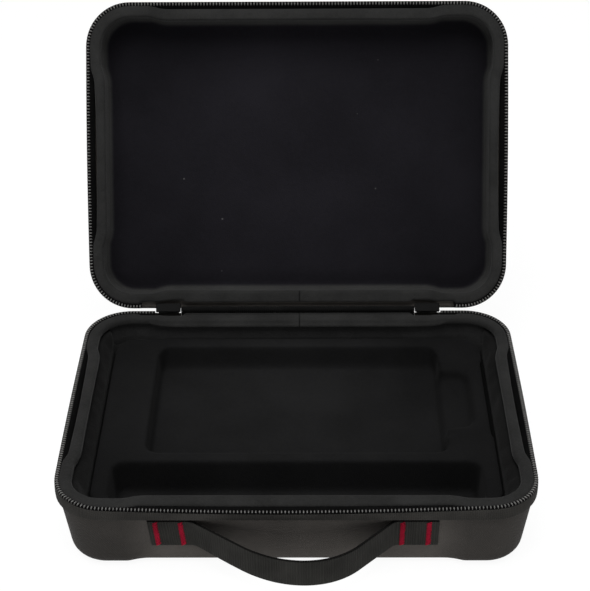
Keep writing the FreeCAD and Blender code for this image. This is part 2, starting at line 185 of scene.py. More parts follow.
soft_box("top_softbox", (-0.10, -0.50, 1.9), (0, 0.05, 0.05), size=1.3, power=27)
soft_box("front_softbox", (0.30, -2.0, 0.24), (0, 0, 0.05), size=0.45, power=6)
bpy.context.scene.view_settings.view_transform = "Standard"

# %% [markdown]
# ## Helpers for finishes
# Every finish is a node material. The helpers below add a node and join it in one line, so that each
# recipe further down reads as a list of steps: a pattern, a colour made from it, and a bump.

# %% Node helpers
def new_finish(name, colour, roughness, **sockets):
    """A material whose constants sit on the shader's own sockets."""
    material = bpy.data.materials.new(name)
    material.use_nodes = True
    shader = material.node_tree.nodes["Principled BSDF"]
    shader.inputs["Base Color"].default_value = (*colour, 1)
    shader.inputs["Roughness"].default_value = roughness
    for socket, value in sockets.items():
        shader.inputs[socket.replace("_", " ")].default_value = value
    return material


def node(material, kind, links=(), **values):
    """A new node with its plain values set and its inputs joined."""
    made = material.node_tree.nodes.new("ShaderNode" + kind)
    for name, value in values.items():
        if hasattr(made, name):
            setattr(made, name, value)
        else:
            made.inputs[name.replace("_", " ")].default_value = value
    for slot, source in dict(links).items():
        material.node_tree.links.new(source, made.inputs[slot])
    return made


def sums(material, operation, first, second=None, third=None, clamp=False):
    """One step of arithmetic on sockets or numbers."""
    made = material.node_tree.nodes.new("ShaderNodeMath")
    made.operation, made.use_clamp = operation, clamp
    for slot, value in enumerate((first, second, third)):
        if isinstance(value, (int, float)):
            made.inputs[slot].default_value = value
        elif value is not None:
            material.node_tree.links.new(value, made.inputs[slot])
    return made.outputs[0]


def blend_colours(material, share, first, second):
    """A colour between two, by a share from a socket."""
    made = material.node_tree.nodes.new("ShaderNodeMix")
    made.data_type = "RGBA"
    material.node_tree.links.new(share, made.inputs[0])
    for slot, value in ((6, first), (7, second)):
        if isinstance(value, tuple):
            made.inputs[slot].default_value = (*value, 1)
        else:
            material.node_tree.links.new(value, made.inputs[slot])
    return made.outputs[2]


def grain(material, coordinates, scale, detail, reach=0.5):
    """Cloudy noise, stretched to run from minus the reach to the reach."""
    cloud = node(material, "TexNoise", {"Vector": coordinates}, Scale=scale, Detail=detail)
    spread = node(material, "MapRange", {"Value": cloud.outputs[0]}, From_Min=0.3, From_Max=0.7,
                  To_Min=-reach, To_Max=reach)
    return spread.outputs[0]


def finish_with(material, colour, roughness, height, distance, strength):
    """Join a colour, a roughness if there is one, and a bump to the shader."""
    shader = material.node_tree.nodes["Principled BSDF"]
    material.node_tree.links.new(colour, shader.inputs["Base Color"])
    if roughness is not None:
        material.node_tree.links.new(roughness, shader.inputs["Roughness"])
    bump = node(material, "Bump", {"Height": height}, Distance=distance, Strength=strength)
    material.node_tree.links.new(bump.outputs[0], shader.inputs["Normal"])
    return material


def lighter(colour, by):
    """The same colour, lighter or darker."""
    return tuple(c * by for c in colour)


def dress(name, finish):
    """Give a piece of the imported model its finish."""
    piece = frame["nodes"][name]
    piece.data.materials.clear()
    piece.data.materials.append(finish)
    print(name, "dressed in", finish.name)


# %% [markdown]
# ## Moulded shell cloth
# Both shells are foam pressed in a mould with a fine woven nylon on the outside. The threads run along
# the sides, so the pattern picks its two directions from the way the surface faces. On the lid the
# pattern is first turned by the lid's own angle, so that the threads follow it too. The corners are
# painted a little darker: painted shade, because the proud corners catch more light than the front panel.

# %% Shell cloth
def facing_pair(material, turn):
    """Two coordinates that run along the surface, by the main way that it faces."""
    facing = 0.75
    places = node(material, "TexCoord")
    turned = node(material, "Mapping", {"Vector": places.outputs["Object"]})
    faces = node(material, "Mapping", {"Vector": places.outputs["Normal"]}, vector_type="NORMAL")
    for step in (turned, faces):
        step.inputs["Rotation"].default_value = (-turn, 0, 0)
    place = node(material, "SeparateXYZ", {"Vector": turned.outputs[0]})
    normal = node(material, "SeparateXYZ", {"Vector": faces.outputs[0]})
    sideways = sums(material, "GREATER_THAN", sums(material, "ABSOLUTE", normal.outputs["X"]), facing)
    upward = sums(material, "GREATER_THAN", sums(material, "ABSOLUTE", normal.outputs["Z"]), facing)

    def pick(share, first, second):
        return node(material, "Mix", {0: share, 2: first, 3: second}).outputs[0]

    along = pick(sideways, place.outputs["X"], place.outputs["Y"])
    across = pick(upward, place.outputs["Z"], place.outputs["Y"])
    return places.outputs["Object"], along, across


def threads(material, along, across, pitch):
    """Height of a plain weave, from minus one to one."""
    turns = 2 * math.pi / pitch
    warp = sums(material, "SINE", sums(material, "MULTIPLY", along, turns))
    weft = sums(material, "SINE", sums(material, "MULTIPLY", across, turns))
    return sums(material, "MULTIPLY", warp, weft)


def shell_cloth(name, turn, corner_start):
    """Fine woven nylon, moulded over foam, with painted shade beyond the corners' start."""
    colour, thread_pitch, corner_fade, corner_shade = (0.085, 0.0780, 0.0715), 0.0017, 0.025, 0.53
    material = new_finish(name, colour, 0.72, Specular_IOR_Level=0.06, Sheen_Weight=0.03,
                          Sheen_Roughness=0.5)
    where, along, across = facing_pair(material, turn)
    weave = threads(material, along, across, thread_pitch)
    cloud = grain(material, where, 26, 4)
    speck = grain(material, where, 900, 1)
    mixed = sums(material, "MULTIPLY_ADD", weave, 0.20, sums(material, "MULTIPLY_ADD", speck, 0.35, cloud))
    share = sums(material, "ADD", mixed, 0.5, clamp=True)
    shaded = blend_colours(material, share, lighter(colour, 0.80), lighter(colour, 1.22))
    # Painted shade: the proud corners, which catch more light than the front panel, are darkened.
    sideways = sums(material, "ABSOLUTE", node(material, "SeparateXYZ", {0: where}).outputs["X"])
    corners = node(material, "MapRange", {"Value": sideways}, From_Min=corner_start,
                   From_Max=corner_start + corner_fade)
    painted_shade = sums(material, "MULTIPLY", corners.outputs[0], corner_shade)
    shaded = blend_colours(material, painted_shade, shaded, (0.0, 0.0, 0.0))
    rough = sums(material, "MULTIPLY_ADD", cloud, 0.10, 0.72)
    return finish_with(material, shaded, rough, weave, 0.00012, 0.7)


for body, tilt, corner_start in (("base", 0.0, 0.095), ("lid", math.pi - open_angle, 0.143)):
    dress(body + "_shell", shell_cloth(body + "_shell_cloth", tilt, corner_start))

# %% [markdown]
# ## Velvet and brushed linings
# Short velvet looks nearly black from the front and paler at a slant, which is what the shader's sheen
# does. Hand marks and lint show as slow clouds and a few pale specks. The brushed cloth of the linings
# and rolls is the same recipe with a greyer colour and smaller clouds. First come the marks that only
# some pieces have. Each is a small function that gives a share, which later picks between two colours.

# %% Marks on the nap
def clouded(material, share, colour, spread):
    """A colour that the clouds darken and lighten by a spread."""
    return blend_colours(material, share, lighter(colour, 1 - spread), lighter(colour, 1 + spread))


def edge_shade_share(material, where, middle, reach):
    """Zero near a middle, and one from the reach on: the share of painted shade away from the middle."""
    near_share = 0.3
    away = node(material, "VectorMath", {0: where}, operation="DISTANCE")
    away.inputs[1].default_value = middle
    fade = node(material, "MapRange", {"Value": away.outputs["Value"]}, From_Min=reach * near_share,
                From_Max=reach)
    return fade.outputs[0]


def level_share(material, where):
    """One where the tray lies level, zero on steep walls, and near one all over the front trough."""
    steepest, flattest, ridge_place, trough_share = 0.35, 0.93, -0.0445, 0.85
    upright = node(material, "TexCoord").outputs["Normal"]
    rise = node(material, "SeparateXYZ", {0: upright}).outputs["Z"]
    level = node(material, "MapRange", {"Value": rise}, From_Min=steepest, From_Max=flattest)
    along = node(material, "SeparateXYZ", {0: where}).outputs["Y"]
    trough = sums(material, "LESS_THAN", along, ridge_place)
    return sums(material, "MAXIMUM", level.outputs[0], sums(material, "MULTIPLY", trough, trough_share))


def lint_share(material, where, strength):
    """The strength on a few small specks, else zero."""
    per_metre, chosen_share, speck_size = 62.0, 0.16, 0.045
    dots = node(material, "TexVoronoi", {"Vector": where}, Scale=per_metre)
    chance = node(material, "SeparateColor", {0: dots.outputs["Color"]}).outputs[0]
    rare = sums(material, "LESS_THAN", chance, chosen_share)
    near = sums(material, "LESS_THAN", dots.outputs["Distance"], speck_size)
    return sums(material, "MULTIPLY", sums(material, "MULTIPLY", rare, near), strength)


def seam_share(material, where):
    """A dark share on the thin seam at the middle of the hinge side, else zero."""
    seam_place, seam_half, seam_front, seam_rise, seam_dark = 0.0015, 0.0006, 0.09, 0.04, 0.7
    parts = node(material, "SeparateXYZ", {0: where})
    aside = sums(material, "ABSOLUTE", sums(material, "SUBTRACT", parts.outputs["X"], seam_place))
    near = sums(material, "LESS_THAN", aside, seam_half)
    rear = sums(material, "GREATER_THAN", parts.outputs["Y"], seam_front)
    low = sums(material, "LESS_THAN", parts.outputs["Z"], parting + seam_rise)
    there = sums(material, "MULTIPLY", near, sums(material, "MULTIPLY", rear, low))
    return sums(material, "MULTIPLY", there, seam_dark)


def groove_share(material, where, inset):
    """Painted shade: a dark share on the fold along the rear roll, at an inset from the hinge line, else
    zero.
    """
    groove_half, groove_reach, groove_shade = 0.0013, 0.128, 0.55
    parts = node(material, "SeparateXYZ", {0: where})
    away = sums(material, "SUBTRACT", half_depth - inset, parts.outputs["Y"])
    line = sums(material, "LESS_THAN", sums(material, "ABSOLUTE", away), groove_half)
    between = sums(material, "LESS_THAN", sums(material, "ABSOLUTE", parts.outputs["X"]), groove_reach)
    return sums(material, "MULTIPLY", sums(material, "MULTIPLY", line, between), groove_shade)


def wall_share(material, where):
    """Zero on the lid's velvet floor and one on its wall, by the height in the lid's own direction."""
    floor_end, wall_start = -0.0335, -0.0318
    offset = node(material, "VectorMath", {0: where}, operation="SUBTRACT")
    offset.inputs[1].default_value = hinge
    rise = node(material, "VectorMath", {0: offset.outputs[0]}, operation="DOT_PRODUCT")
    rise.inputs[1].default_value = lid_place.to_3x3() @ Vector((0, 0, 1))
    step = node(material, "MapRange", {"Value": rise.outputs["Value"]}, From_Min=floor_end,
                From_Max=wall_start)
    return step.outputs[0]


# %% [markdown]
# ### One recipe for every nap
# Each piece gives its own colours, sheen and marks. The velvet of the lid and of the tray's floor is
# palest in the middle and darker towards the walls: painted shade. The tray's steep walls are darker,
# also as painted shade, and the lid's wall is a plain grey cloth.

# %% Nap finishes
def nap_cloth(name, colour, sheen, clouds, spread, lint=0.0, seam=False, groove=None, wall=None,
              painted_edge_shade=None, steep=None):
    """Short pile: sheen, slow clouds and fine grain, with the marks and painted shade that a piece asks
    for.
    """
    # The black serves both the seam's real dark joint and the painted shade in the rear roll's fold.
    lint_grey, seam_and_groove_shade_black = (0.16, 0.16, 0.16), (0.002, 0.002, 0.002)
    material = new_finish(name, colour, 0.9, Specular_IOR_Level=0.04, Sheen_Weight=sheen,
                          Sheen_Roughness=0.45)
    where = node(material, "TexCoord").outputs["Object"]
    cloud = grain(material, where, clouds, 5)
    pile = grain(material, where, 1100, 2)
    tuft = grain(material, where, 330, 2)
    mixed = sums(material, "MULTIPLY_ADD", pile, 0.5, sums(material, "MULTIPLY_ADD", tuft, 0.3, cloud))
    share = sums(material, "ADD", mixed, 0.5, clamp=True)
    shaded = clouded(material, share, colour, spread)
    # Painted shade: the velvet darkens away from its middle, as less light reaches it near the walls.
    if painted_edge_shade:
        middle, reach, dark = painted_edge_shade
        edge = clouded(material, share, lighter(colour, dark), spread)
        shaded = blend_colours(material, edge_shade_share(material, where, middle, reach), shaded, edge)
    # Painted shade: the tray's steep walls are darker, as walls in shade are; the front trough is left out.
    if steep:
        wall_shade_colour = clouded(material, share, lighter(colour, steep), spread)
        shaded = blend_colours(material, level_share(material, where), wall_shade_colour, shaded)
    if lint:
        shaded = blend_colours(material, lint_share(material, where, lint), shaded, lint_grey)
    if seam:
        shaded = blend_colours(material, seam_share(material, where), shaded, seam_and_groove_shade_black)
    # Painted shade in the fold of the rear roll.
    if groove:
        shaded = blend_colours(material, groove_share(material, where, groove), shaded, seam_and_groove_shade_black)
    if wall:
        plain = clouded(material, share, wall, spread)
        shaded = blend_colours(material, wall_share(material, where), shaded, plain)
    height = sums(material, "MULTIPLY_ADD", tuft, 0.6, pile)
    return finish_with(material, shaded, None, height, 0.00025, 0.55)


lid_middle = lid_place @ Vector((0, 0, parting - 0.034))
floor_middle = Vector((-0.025, 0.026, parting - 0.0355))
lid_velvet = nap_cloth("lid_velvet", (0.0122, 0.0115, 0.0144), 0.06, 13, 0.22, lint=0.5,
                       wall=(0.038, 0.038, 0.0372), painted_edge_shade=(lid_middle, 0.20, 0.62))
tray_velvet = nap_cloth("tray_velvet", (0.0141, 0.0141, 0.0144), 0.015, 16, 0.22, lint=0.25,
                        painted_edge_shade=(floor_middle, 0.15, 0.60), steep=0.42)
lining_cloth = nap_cloth("lining_cloth", (0.0260, 0.0260, 0.0262), 0.02, 24, 0.25)
roll_cloth = nap_cloth("roll_cloth", (0.0250, 0.0250, 0.0246), 0.08, 38, 0.22, seam=True, groove=0.0055)
# Painted shade: the tray's ring is nearly black, so that it stays as dark as the shade round the tray.
ring_shade_cloth = nap_cloth("ring_shade_cloth", (0.0020, 0.0020, 0.0020), 0.0, 30, 0.25)
liner_cloth = nap_cloth("liner_cloth", (0.0095, 0.0095, 0.0094), 0.03, 30, 0.25, seam=True)
dress("base_lining", lining_cloth)
dress("tray_ring", ring_shade_cloth)
dress("lid_lining", lid_velvet)

# %% [markdown]
# ## Padded pieces
# Rolls, wall liner and tray are foam under cloth. Each starts as a copy of its solid, which is remeshed
# into even squares. The rolls and the liner are then blown up a little as cloth, so that they bulge and
# pucker as stuffed fabric does. A cap on how far a point may move keeps each pad in its own space.

# %% Padding helpers
def add_piece(name, mesh, body, finish):
    """Put a finished mesh in the scene and let it ride on its body."""
    piece = bpy.data.objects.new(name, mesh)
    bpy.context.scene.collection.objects.link(piece)
    mesh.materials.clear()
    mesh.materials.append(finish)
    for face in mesh.polygons:
        face.use_smooth = True
    if body:
        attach(piece, body)
    print(name, len(mesh.polygons), "faces")
    return piece


def remeshed_copy(node_name, voxel):
    """A copy of a solid as even squares, as an object of its own."""
    mesh = frame["nodes"][node_name].data.copy()
    bm = bmesh.new()
    bm.from_mesh(mesh)
    bmesh.ops.remove_doubles(bm, verts=bm.verts, dist=1e-6)
    bm.to_mesh(mesh)
    bm.free()
    pad = bpy.data.objects.new(node_name + "_work", mesh)
    bpy.context.scene.collection.objects.link(pad)
    squares = pad.modifiers.new("squares", "REMESH")
    squares.mode, squares.voxel_size = "VOXEL", voxel
    keep_result(pad)
    return pad


def keep_result(pad):
    """Replace the mesh by what its modifiers make of it."""
    graph = bpy.context.evaluated_depsgraph_get()
    made = bpy.data.meshes.new_from_object(pad.evaluated_get(graph))
    pad.modifiers.clear()
    pad.data = made


def relax(mesh, rounds, inside=lambda place: True):
    """Even out a mesh, or the part of it inside some bounds, which rounds its edges."""
    bm = bmesh.new()
    bm.from_mesh(mesh)
    chosen = [v for v in bm.verts if inside(v.co)]
    for _ in range(rounds):
        bmesh.ops.smooth_vert(bm, verts=chosen, factor=0.5, use_axis_x=True, use_axis_y=True,
                              use_axis_z=True)
    bm.to_mesh(mesh)
    bm.free()


def blow_up(pad, pressure, cap):
    """Swell a pad as cloth for 20 frames, and hold every point near where it was."""
    frames, rest = 20, [v.co.copy() for v in pad.data.vertices]
    cloth = pad.modifiers.new("padding", "CLOTH")
    cloth.settings.quality = 5
    cloth.settings.mass = 0.2
    cloth.settings.use_pressure = True
    cloth.settings.uniform_pressure_force = pressure
    cloth.settings.effector_weights.gravity = 0
    cloth.point_cache.frame_start, cloth.point_cache.frame_end = 1, frames
    for step in range(1, frames + 1):
        bpy.context.scene.frame_set(step)
    keep_result(pad)
    bpy.context.scene.frame_set(1)
    for vertex, place in zip(pad.data.vertices, rest):
        moved = vertex.co - place
        if moved.length > cap:
            vertex.co = place + moved * (cap / moved.length)


# %% [markdown]
# ### The open edge
# With the zip open, its tape has nothing to hold it up, so it flops outward between the corners and the
# teeth of the front droop. One function gives that move for every piece of the edge: none at the foot of
# the tape, none at the corners, and most in the middle of a side.

# %% Flop of the open edge
tape_height, edge_depth = 0.012, 0.011
front_shift, front_reach, side_reach = 0.010, 0.150, 0.095


def ease(share):
    """A smooth step from zero to one."""
    share = max(0.0, min(1.0, share))
    return share * share * (3 - 2 * share)


def arch(along, reach):
    """One in the middle of a side, zero at its ends."""
    return math.cos(min(1.0, abs(along) / reach) * math.pi / 2)


def flop(place, front_out, front_down, side_out):
    """Where a point of an edge comes to lie, with the half in its place as a base."""
    rise = ease((place.z - parting) / tape_height + 1)
    front = rise * ease((-place.y - half_depth) / edge_depth + 1) * arch(place.x + front_shift, front_reach)
    side = rise * ease((abs(place.x) - half_width) / edge_depth + 1) * arch(place.y, side_reach)
    sideways = math.copysign(side_out, place.x) * side
    return place + Vector((sideways, -front_out * front, -front_down * front))


base_flop, lid_flop = (0.0038, 0.0020, 0.0006), (0.0, 0.0, 0.0008)
front_edge = flop(Vector((0, -half_depth, parting)), *base_flop)
print("front edge flops to", tuple(round(c, 4) for c in front_edge))

# %% [markdown]
# ### How the rolls lie
# A roll is soft, so it takes the shape of what is beside it. Three functions move its points. The first
# brings its outer edge to the zip, and draws it in a little amid the short sides. The second brings the
# rear out to the hinge cloth and leaves a ledge along its inner foot. The third flattens the top, where
# the other half's roll presses on it when the case is closed.

# %% Moves of the rolls
roll_out, roll_band, band_fade, rear_end, rear_fade = 0.0010, 0.012, 0.006, 0.100, 0.03
side_start, side_fade, side_half = 0.145, 0.012, 0.100
roll_depth, hinge_end, hinge_fade, top_gap = 0.0126, 0.0945, 0.004, 0.0003
square_share, square_drop, square_fade = 0.6, 0.0045, 0.003
foot_depth, ledge_end, ledge_fade, ledge_drop, ledge_half = 0.020, 0.145, 0.06, 0.0056, 0.0015
press_depth = 0.0009


def fuller(place, narrow):
    """Where a point of a roll comes to lie: its outer edge meets the zip, but draws in amid the sides."""
    across = max(-straight_x, min(straight_x, place.x))
    along = max(-straight_y, min(straight_y, place.y))
    out = place - Vector((across, along, place.z))
    share = ease((roll_band - corner + out.length) / band_fade) * ease((rear_end - place.y) / rear_fade)
    amid = ease((abs(place.x) - side_start) / side_fade) * arch(place.y, side_half) ** 2
    return place + out.normalized() * (roll_out - narrow * amid) * share


def rear_roll(place, reach, foot):
    """Where a point of a roll comes to lie at the rear: out to the hinge, with a ledge along its foot."""
    inset = half_depth - place.y
    if inset < roll_depth:
        share = ease((hinge_end - abs(place.x)) / hinge_fade)
        near_top = ease((place.z - parting + square_drop) / square_fade)
        square = square_share * share * near_top * (parting - top_gap - place.z)
        along = half_depth - roll_depth + (roll_depth - inset) * (1 + reach * share)
        return Vector((place.x, along, place.z + square))
    if inset < foot_depth and abs(place.x) < ledge_end:
        ledge = math.exp(-((place.z - parting + ledge_drop) / ledge_half) ** 2)
        ledge *= ease((ledge_end - abs(place.x)) / ledge_fade)
        return place - Vector((0, foot * ledge, 0))
    return place


def pressed_flat(place):
    """Where a point of a roll comes to lie when the other half's roll presses on it."""
    over = place.z - parting + top_gap + press_depth
    if over < 0:
        return place
    return Vector((place.x, place.y, parting - top_gap - press_depth * math.exp(-over / press_depth)))


# %% [markdown]
# ### Rim rolls
# A light grey roll of padded cloth covers the raw edge of each shell. Both rolls start from the same form,
# so one is blown up and copied. Each copy is then moved to its own edge, and the lid's is swung into place.

# %% Rim rolls
base_tuck, lid_tuck = (0.0036, 0.0018, 0.0), (0.0, 0.0, 0.0)
base_narrow, lid_narrow = 0.0012, 0.0018
base_rear, lid_rear = (0.67, 0.0022), (0.25, 0.0)
roll = remeshed_copy("base_rim_roll", voxel=0.0013)
relax(roll.data, rounds=2)
blow_up(roll, pressure=4.0, cap=0.0009)
lid_roll_mesh = roll.data.copy()
for mesh, tuck, narrow, rear in ((roll.data, base_tuck, base_narrow, base_rear),
                                 (lid_roll_mesh, lid_tuck, lid_narrow, lid_rear)):
    for vertex in mesh.vertices:
        tucked = flop(fuller(vertex.co, narrow), *tuck)
        vertex.co = pressed_flat(rear_roll(tucked, *rear))
lid_roll_mesh.transform(lid_place)
base_roll = add_piece("base_rim_padding", roll.data, "base", roll_cloth)
lid_roll = add_piece("lid_rim_padding", lid_roll_mesh, "lid", roll_cloth)
bpy.data.objects.remove(roll)
for piece, name in ((base_roll, "base_rim_roll"), (lid_roll, "lid_rim_roll")):
    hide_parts(name)

# %% [markdown]
# ### Wall liner
# Below the roll a strip of padded cloth is glued to the wall. Its upper edge was trimmed by hand, so it
# wanders up and down by a couple of millimetres, and the cloth wrinkles along that edge.

# %% Wall liner
top_start, top_fade, trim, wander, wander_scale = 0.023, 0.014, 0.0014, 0.0022, 26
wrinkle, wrinkle_scale = 0.0011, 85
liner = remeshed_copy("base_wall_liner", voxel=0.0021)
relax(liner.data, rounds=3)
for vertex in liner.data.vertices:
    spot = Vector((vertex.co.x, vertex.co.y, 0)) * wander_scale
    near_top = max(0.0, min(1.0, (vertex.co.z - parting + top_start) / top_fade))
    vertex.co.z += near_top * (noise.noise(spot) * wander - trim)
    vertex.co += near_top * wrinkle * noise.noise_vector(vertex.co * wrinkle_scale)
blow_up(liner, pressure=3.0, cap=0.0010)
wall_liner = add_piece("base_wall_padding", liner.data, "base", liner_cloth)
bpy.data.objects.remove(liner)
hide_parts("base_wall_liner")

# %% [markdown]
# ### Formed tray
# The tray is one thick sheet pressed into pockets, with velvet on top. The rear wall of the main recess
# is first sloped back and the tray's ends are trimmed a little. All its edges are soft, so the remeshed
# copy is then relaxed until they are round. The notch at the right is the softest.

# %% Tray
wall_front, wall_span, lip_rear, lip_span, wall_lean = 0.072, 0.0145, 0.1095, 0.021, 0.0075
recess_half, recess_fade, floor_drop, wall_height = 0.114, 0.010, 0.0335, 0.0155
tray_half, tray_fade, tray_trim = 0.138, 0.007, 0.0010
notch_left, notch_front, notch_rear, notch_drop = 0.106, -0.020, 0.076, 0.034


def settled(place):
    """Slope the rear wall of the main recess towards the rear lip, and trim the tray's ends."""
    before, behind = ease((place.y - wall_front) / wall_span), (lip_rear - place.y) / lip_span
    share = min(before, max(0.0, behind), 1.0) * ease((recess_half - abs(place.x)) / recess_fade)
    rise = max(0.0, min(1.0, (place.z - parting + floor_drop) / wall_height))
    end = ease((abs(place.x) - tray_half) / tray_fade)
    return place + Vector((-math.copysign(tray_trim * end, place.x), wall_lean * share * rise, 0))


def in_notch(place):
    """True for a point of the notch at the right."""
    beside = place.x > notch_left and notch_front < place.y < notch_rear
    return beside and place.z > parting - notch_drop


tray_work = remeshed_copy("inner_tray", voxel=0.0016)
for vertex in tray_work.data.vertices:
    vertex.co = settled(vertex.co)
relax(tray_work.data, rounds=6)
relax(tray_work.data, rounds=30, inside=in_notch)
tray = add_piece("velvet_tray", tray_work.data, "base", tray_velvet)
bpy.data.objects.remove(tray_work)
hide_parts("inner_tray")

# %% [markdown]
# ## Sweeping along the zip line
# Tape and teeth follow the rounded rectangle. A cross-section is pushed along each straight with extrude
# and carried round each corner with spin. The sweep starts beside the right end of the hinge and runs
# clockwise, seen from above, to the left end.

# %% Sweep helpers
def push(bm, ring, way, steps):
    """Extrude an edge ring along a straight in equal steps."""
    for _ in range(steps):
        made = bmesh.ops.extrude_edge_only(bm, edges=ring)["geom"]
        verts = [g for g in made if isinstance(g, bmesh.types.BMVert)]
        bmesh.ops.translate(bm, verts=verts, vec=Vector(way) / steps)
        kept = set(verts)
        ring = [g for g in made if isinstance(g, bmesh.types.BMEdge) and all(v in kept for v in g.verts)]
    return ring


def turn(bm, ring, centre, angle, steps, axis=(0, 0, 1)):
    """Spin an edge ring about an axis and return its last place."""
    verts = list({v for e in ring for v in e.verts})
    made = bmesh.ops.spin(bm, geom=verts + list(ring), cent=centre, axis=axis, dvec=(0, 0, 0),
                          angle=angle, steps=steps, use_merge=False, use_duplicate=False)
    return [g for g in made["geom_last"] if isinstance(g, bmesh.types.BMEdge)]


def close_ends(bm):
    """Fill open ends and make all faces point outward."""
    bmesh.ops.holes_fill(bm, edges=[e for e in bm.edges if e.is_boundary], sides=0)
    bmesh.ops.recalc_face_normals(bm, faces=bm.faces)


def section(bm, points):
    """A closed ring of edges through points."""
    verts = [bm.verts.new(p) for p in points]
    return [bm.edges.new((a, b)) for a, b in zip(verts, verts[1:] + verts[:1])]


def rim_sweep(points, start):
    """Carry a section, given as inset and height from the parting, round the zip line."""
    bm = bmesh.new()
    ring = section(bm, [(start, half_depth - inset, parting + z) for inset, z in points])
    ring = push(bm, ring, (straight_x - start, 0, 0), 16)
    for x, y, way, steps in ((1, 1, (0, -2 * straight_y, 0), 18), (1, -1, (-2 * straight_x, 0, 0), 28),
                             (-1, -1, (0, 2 * straight_y, 0), 18), (-1, 1, (straight_x - start, 0, 0), 16)):
        ring = turn(bm, ring, (x * straight_x, y * straight_y, 0), -math.pi / 2, 14)
        ring = push(bm, ring, way, steps)
    close_ends(bm)
    return bm


def rim_path(start, pitch, inset):
    """Evenly spaced places and headings along the zip line, moved in by the inset."""
    radius = corner - inset
    sides = [(1, 0, straight_x - start), (0, -1, 2 * straight_y), (-1, 0, 2 * straight_x),
             (0, 1, 2 * straight_y), (1, 0, straight_x - start)]
    at, left, spots = Vector((start, half_depth - inset)), pitch / 2, []
    for number, (x, y, length) in enumerate(sides):
        heading, way = Vector((x, y)), left
        while way < length:
            spots.append((at + heading * way, math.atan2(y, x)))
            way += pitch
        at, way = at + heading * length, way - length
        if number < 4:
            centre = at + Vector((y, -x)) * radius
            while way < radius * math.pi / 2:
                bend = Matrix.Rotation(-way / radius, 2)
                spots.append((centre + bend @ (at - centre), math.atan2(y, x) - way / radius))
                way += pitch
            at = centre + Matrix.Rotation(-math.pi / 2, 2) @ (at - centre)
            way -= radius * math.pi / 2
        left = way
    return spots


def lay_uv(mesh, line, step, flat, across):
    """Give a strip a map whose first number runs along a line of points and whose second runs across."""
    finder = kdtree.KDTree(len(line))
    for number, point in enumerate(line):
        finder.insert(flat(point), number)
    finder.balance()
    layer = mesh.uv_layers.new(name="strip")
    for loop in mesh.loops:
        place = mesh.vertices[loop.vertex_index].co
        layer.data[loop.index].uv = (finder.find(flat(place))[1] * step, across(place))


def mesh_from(bm, name):
    """Turn a finished bmesh into a mesh."""
    mesh = bpy.data.meshes.new(name)
    bm.to_mesh(mesh)
    bm.free()
    return mesh


# %% [markdown]
# ## Woven strips
# Tape, hinge cloth and webbing are woven strips with ribs across them. A finish that read the place in
# space would cut the ribs at every corner, so this one reads a map that follows the strip.

# %% Strip finish
def strip_finish(name, colour, rib, depth, sheen=0.02, threads_along=0.0, shadow_edge=None):
    """Woven strip: ribs across it and threads along it, read from the strip's own map."""
    thread_pitch, edge_shadow, edge_shadow_black = 0.0021, 0.85, (0.001, 0.001, 0.001)
    material = new_finish(name, colour, 0.82, Specular_IOR_Level=0.04, Sheen_Weight=sheen,
                          Sheen_Roughness=0.5)
    strip = node(material, "UVMap", uv_map="strip").outputs[0]
    parts = node(material, "SeparateXYZ", {0: strip})
    wobble = grain(material, strip, 420, 2, reach=0.00012)
    along = sums(material, "ADD", parts.outputs["X"], wobble)
    ribs = sums(material, "SINE", sums(material, "MULTIPLY", along, 2 * math.pi / rib))
    across = sums(material, "MULTIPLY", parts.outputs["Y"], 2 * math.pi / thread_pitch)
    weave = sums(material, "MULTIPLY_ADD", sums(material, "SINE", across), threads_along, ribs)
    cloud = grain(material, node(material, "TexCoord").outputs["Object"], 45, 4)
    clouds = sums(material, "MULTIPLY_ADD", cloud, 0.8, 0.5)
    share = sums(material, "MULTIPLY_ADD", weave, 0.20, clouds, clamp=True)
    shaded = blend_colours(material, share, lighter(colour, 0.68), lighter(colour, 1.30))
    # Painted shadow: a dark line along the strip's top edge, for the shade of the gap behind it.
    if shadow_edge is not None:
        beyond = sums(material, "GREATER_THAN", parts.outputs["Y"], shadow_edge)
        shaded = blend_colours(material, sums(material, "MULTIPLY", beyond, edge_shadow), shaded, edge_shadow_black)
    return finish_with(material, shaded, None, weave, depth, 0.8)


# %% [markdown]
# ## Zip tape
# The tape is a ribbed ribbon sewn round the outside of each rim. Both halves of the zip are the same
# length of tape. Beside the hinge the lid's tape is trimmed lower, so that it clears the sliders when the
# case is closed.

# %% Zip tape
tape_ribs = strip_finish("zip_tape", (0.036, 0.0345, 0.032), 0.0013, 0.00010, threads_along=0.3)
tape_section = [(0.0018, -0.0119), (0.0009, -0.0120), (0.0006, -0.0115), (0.0005, -0.0095),
                (0.00045, -0.0070), (0.0005, -0.0045), (0.0006, -0.0030), (0.0010, -0.00255),
                (0.0018, -0.00255)]
tape_start, lid_zip_start, tape_inset = 0.0950, 0.12725, 0.0012
rear_band, end_trim, map_step, crease = 0.004, 0.0052, 0.002, math.radians(50)
tape_line = [Vector((p.x, p.y, 0)) for p, _ in rim_path(tape_start, map_step, tape_inset)]
for body, place, amount, nodes in (("base", Matrix(), base_flop, ["base_zip_tape"]),
                                   ("lid", lid_place, lid_flop, ["lid_zip_tape", "lid_tape_ends"])):
    mesh = mesh_from(rim_sweep(tape_section, tape_start), body + "_zip_ribbon")
    lay_uv(mesh, tape_line, map_step, lambda p: Vector((p.x, p.y, 0)), lambda p: p.z)
    for vertex in mesh.vertices:
        vertex.co = flop(vertex.co, *amount)
        beside_hinge = vertex.co.y > half_depth - rear_band and abs(vertex.co.x) < lid_zip_start
        if body == "lid" and beside_hinge:
            vertex.co.z = min(vertex.co.z, parting - end_trim)
    mesh.transform(place)
    tape = add_piece(body + "_zip_ribbon", mesh, body, tape_ribs)
    mesh.set_sharp_from_angle(angle=crease)
    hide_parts(*nodes)

